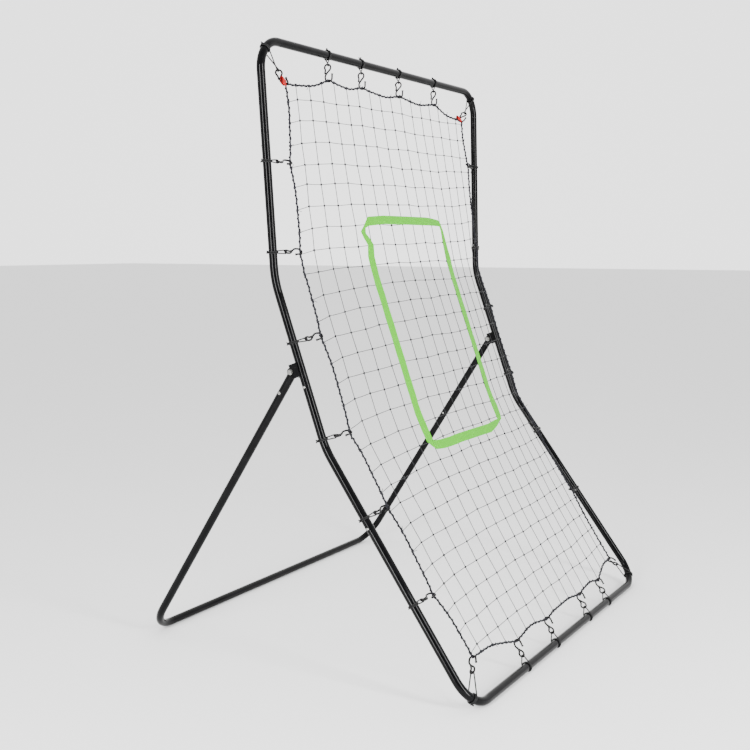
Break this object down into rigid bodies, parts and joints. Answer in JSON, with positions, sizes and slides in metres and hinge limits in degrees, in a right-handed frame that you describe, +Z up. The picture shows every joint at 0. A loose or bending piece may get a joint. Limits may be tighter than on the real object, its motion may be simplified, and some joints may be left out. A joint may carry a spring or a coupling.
{
  "type": "pitch back rebounder",
  "caption": "Free-standing ball rebounder: a bent steel tube frame with a hooked-in knotted net and a folding rear stand.",
  "frame": {"origin": "on the floor, at the middle of the object's box", "axes": "+X across to the right rail, +Y from the player to the rear stand, +Z up"},
  "size_m": [1.0335, 0.9022, 1.4004],
  "materials": {
    "black_steel": "gloss black powder coat",
    "zinc_steel": "bright zinc plate",
    "spring_steel": "bare spring steel",
    "hook_black": "black dipped wire",
    "elastic": "braided black elastic cord",
    "net_cord": "thin black knotted nylon string",
    "rope": "twisted black polypropylene rope",
    "green_ribbon": "bright lime woven ribbon",
    "red_cloth": "red woven tag"
  },
  "bodies": {
    "frame": {"top_frame_tube": "black_steel", "upper_side_tube_left": "black_steel", "upper_side_tube_right": "black_steel", "lower_side_tube_left": "black_steel", "lower_side_tube_right": "black_steel", "bottom_frame_tube": "black_steel", "hinge_bracket_left": "black_steel", "hinge_bracket_right": "black_steel", "hinge_bolts": "zinc_steel", "hinge_washers": "zinc_steel", "hinge_nuts": "zinc_steel", "frame_button_springs": "spring_steel", "top_hooks": "hook_black", "top_elastics": "elastic", "bottom_hooks": "hook_black", "bottom_elastics": "elastic", "left_hooks": "hook_black", "left_elastics": "elastic", "right_hooks": "hook_black", "right_elastics": "elastic", "net_panel": "net_cord", "border_rope": "rope", "strike_zone_ribbon": "green_ribbon", "corner_tag_left": "red_cloth", "corner_tag_right": "red_cloth"},
    "stand": {"leg_tube_left": "black_steel", "leg_tube_right": "black_steel", "rear_base_tube": "black_steel", "leg_button_springs": "spring_steel", "leg_rivets": "zinc_steel"},
    "snap_button_low_left": {"snap_button_low_left": "zinc_steel"},
    "snap_button_mid_left": {"snap_button_mid_left": "zinc_steel"},
    "snap_button_top_left": {"snap_button_top_left": "zinc_steel"},
    "snap_button_low_right": {"snap_button_low_right": "zinc_steel"},
    "snap_button_mid_right": {"snap_button_mid_right": "zinc_steel"},
    "snap_button_top_right": {"snap_button_top_right": "zinc_steel"},
    "snap_button_leg_left": {"snap_button_leg_left": "zinc_steel"},
    "snap_button_leg_right": {"snap_button_leg_right": "zinc_steel"}
  },
  "joints": [
    {"name": "stand_fold", "type": "hinge", "parent": "frame", "child": "stand", "pos_m": [0, 0.01361, 0.67126], "axis": [-1, 0, 0], "range_deg": [0, 52]},
    {"name": "snap_button_low_left_press", "type": "slide", "parent": "frame", "child": "snap_button_low_left", "axis": [0.9996, -0.0166, -0.0224], "range_m": [0, 0.0025], "stiffness_N_per_m": 800, "springref_m": -0.001},
    {"name": "snap_button_mid_left_press", "type": "slide", "parent": "frame", "child": "snap_button_mid_left", "axis": [1, 0, 0], "range_m": [0, 0.0025], "stiffness_N_per_m": 800, "springref_m": -0.001},
    {"name": "snap_button_top_left_press", "type": "slide", "parent": "frame", "child": "snap_button_top_left", "axis": [0, -0.999, 0.0436], "range_m": [0, 0.0025], "stiffness_N_per_m": 800, "springref_m": -0.001},
    {"name": "snap_button_low_right_press", "type": "slide", "parent": "frame", "child": "snap_button_low_right", "axis": [-0.9996, -0.0166, -0.0224], "range_m": [0, 0.0025], "stiffness_N_per_m": 800, "springref_m": -0.001},
    {"name": "snap_button_mid_right_press", "type": "slide", "parent": "frame", "child": "snap_button_mid_right", "axis": [-1, 0, 0], "range_m": [0, 0.0025], "stiffness_N_per_m": 800, "springref_m": -0.001},
    {"name": "snap_button_top_right_press", "type": "slide", "parent": "frame", "child": "snap_button_top_right", "axis": [0, -0.999, 0.0436], "range_m": [0, 0.0025], "stiffness_N_per_m": 800, "springref_m": -0.001},
    {"name": "snap_button_leg_left_press", "type": "slide", "parent": "stand", "child": "snap_button_leg_left", "axis": [-0.9999, -0.0085, 0.0131], "range_m": [0, 0.0025], "stiffness_N_per_m": 800, "springref_m": -0.001},
    {"name": "snap_button_leg_right_press", "type": "slide", "parent": "stand", "child": "snap_button_leg_right", "axis": [0.9999, -0.0085, 0.0131], "range_m": [0, 0.0025], "stiffness_N_per_m": 800, "springref_m": -0.001}
  ]
}
